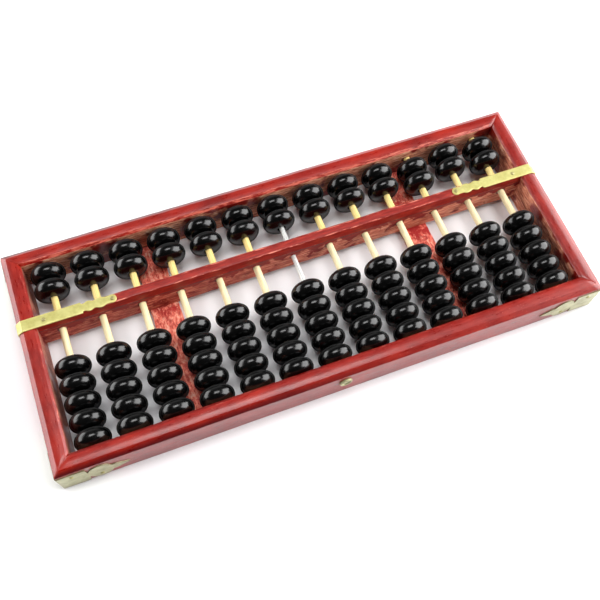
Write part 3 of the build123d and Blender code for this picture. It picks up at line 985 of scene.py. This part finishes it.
def make_nails(material):
    """Nails of the straps in one piece and nails of the brackets in another."""
    bm = new_mesh()
    centre_y = middle("left_crossbar_strap").y
    for place in STRAP_NAILS:
        for side in (-1, 1):
            spot = Vector((side * (HALF_LENGTH - place), centre_y, RAIL_TOP + SHEET))
            add_nail(bm, spot, Vector((0, 0, 1)))
    piece("strap_nails", bm, material, "frame", ["strap_nails"])
    bm = new_mesh()
    centre_z = middle("front_left_bracket").z
    for side_x in (-1, 1):
        for side_y in (-1, 1):
            for place, rise in BRACKET_NAILS:
                z = centre_z + rise
                x, y = side_x * (HALF_LENGTH - place), side_y * (HALF_DEPTH - place)
                long_face = Vector((x, side_y * (HALF_DEPTH + SHEET), z))
                short_face = Vector((side_x * (HALF_LENGTH + SHEET), y, z))
                add_nail(bm, long_face, Vector((0, side_y, 0)))
                add_nail(bm, short_face, Vector((side_x, 0, 0)))
    piece("bracket_nails", bm, material, "frame", ["bracket_nails"])


# ---- studio ----
def direction(azimuth, elevation):
    """Unit vector from the object: azimuth 0 is the front (-Y), 90 the right (+X)."""
    turn, rise = math.radians(azimuth), math.radians(elevation)
    return Vector((math.sin(turn) * math.cos(rise), -math.cos(turn) * math.cos(rise), math.sin(rise)))


def make_camera():
    """Camera high above the front left of the object, rolled a little."""
    length = 2 * HALF_LENGTH
    back = direction(CAMERA_AZIMUTH, CAMERA_ELEVATION)
    target = Vector((*CAMERA_TARGET, 0)) * length
    right = Vector((0, 0, 1)).cross(back).normalized()
    up = back.cross(right)
    roll = math.radians(CAMERA_ROLL)
    side = right * math.cos(roll) + up * math.sin(roll)
    top = up * math.cos(roll) - right * math.sin(roll)
    camera = bpy.data.objects.new("camera", bpy.data.cameras.new("camera"))
    camera.data.sensor_width = CAMERA_SENSOR
    camera.data.lens = CAMERA_LENS
    axes = Matrix((side, top, back)).transposed().to_4x4()
    camera.matrix_world = Matrix.Translation(target + back * CAMERA_DISTANCE * length) @ axes
    bpy.context.collection.objects.link(camera)
    bpy.context.scene.camera = camera


def softbox(name, azimuth, elevation, distance, size, watts, tint=(1, 1, 1), seen=True):
    """Rectangular area light aimed at the middle of the object; an unseen one leaves no highlight."""
    light = bpy.data.lights.new(name, "AREA")
    light.shape = "RECTANGLE"
    light.size, light.size_y = size
    light.energy = watts
    light.color = tint
    lamp = bpy.data.objects.new(name, light)
    towards = direction(azimuth, elevation)
    lamp.location = towards * distance
    lamp.rotation_mode = "QUATERNION"
    lamp.rotation_quaternion = towards.to_track_quat("Z", "Y")
    lamp.visible_glossy = seen
    bpy.context.collection.objects.link(lamp)


def make_studio():
    """Pale table, four soft lights and a dim room."""
    floor = new_mesh()
    bmesh.ops.create_grid(floor, x_segments=8, y_segments=8, size=TABLE_HALF_SIZE)
    mesh = bpy.data.meshes.new("floor")
    floor.to_mesh(mesh)
    floor.free()
    mesh.materials.append(pale_floor("floor"))
    table = bpy.data.objects.new("floor", mesh)
    bpy.context.collection.objects.link(table)
    softbox("window", *WINDOW)
    softbox("left_strip", *LEFT_STRIP)
    softbox("overhead", *OVERHEAD)
    softbox("fill", *FILL, tint=FILL_TINT, seen=False)
    make_room()


def make_room():
    """Dim room, dark at the front and paler low down behind the object."""
    world = bpy.data.worlds.new("room")
    world.use_nodes = True
    tree = world.node_tree
    towards = put(tree, "TexCoord", {}).outputs["Generated"]
    behind = put(tree, "VectorMath", {0: towards, 1: (0, 1, 0)}, operation="DOT_PRODUCT").outputs["Value"]
    glow = ramp(tree, between(tree, behind, 0.6, 1.0), [(0.0, 0.05), (1.0, 0.5)])
    tree.links.new(glow, tree.nodes["Background"].inputs["Color"])
    bpy.context.scene.world = world
    bpy.context.scene.view_settings.view_transform = "Standard"


def main():
    """The whole scene, with one seed for the random draws and the noise."""
    rng = random.Random(SEED)
    noise.seed_set(SEED)
    make_camera()
    make_studio()
    # Tones of the bare inner walls: the left rail's darker as painted shade, the long rails' lightened as
    # painted light on the back wall, the right rail's salmon.
    lit_pine = [srgb(150, 70, 52), srgb(226, 146, 112), srgb(252, 212, 178)]
    shaded_brown = [srgb(96, 40, 34), srgb(150, 86, 70), srgb(200, 138, 112)]
    salmon = [srgb(136, 60, 46), srgb(216, 130, 100), srgb(250, 200, 166)]
    make_rails(
        lacquered_wood("lacquer_long", (6, 1, 1), lit_pine),
        lacquered_wood("lacquer_left", (1, 6, 1), shaded_brown),
        lacquered_wood("lacquer_right", (1, 6, 1), salmon),
    )
    make_crossbar(bar_wood("lacquer_bar"))
    make_slat("left_slat", rough_slat("slat_coral", 0.4), 1.0)
    make_slat("right_slat", rough_slat("slat_red", 0.6), 2.0)
    make_bamboo_rods(split_bamboo("bamboo"), rng)
    make_tie_rod(drawn_steel("steel"))
    yellow = (srgb(204, 198, 126), srgb(176, 168, 92), srgb(214, 196, 122))
    strap_brass = stamped_brass("strap_brass", *yellow)
    # The brackets' rim colour is dark: a painted shadow line along their pressed edges, with some
    # tarnish.
    grey = (srgb(178, 174, 132), srgb(146, 140, 102), srgb(92, 70, 50))
    bracket_brass = stamped_brass("bracket_brass", *grey)
    make_tie_heads(bracket_brass)
    make_beads(polished_black("bead_black"), rng)
    make_strap("left_crossbar_strap", -1, strap_brass)
    make_strap("right_crossbar_strap", 1, strap_brass)
    for end, side_y in (("front", -1), ("back", 1)):
        for side, side_x in (("left", -1), ("right", 1)):
            make_bracket(f"{end}_{side}_bracket", side_x, side_y, bracket_brass)
    dark = (srgb(168, 160, 104), srgb(132, 122, 74), srgb(72, 58, 36))
    make_nails(stamped_brass("nail_brass", *dark))


main()
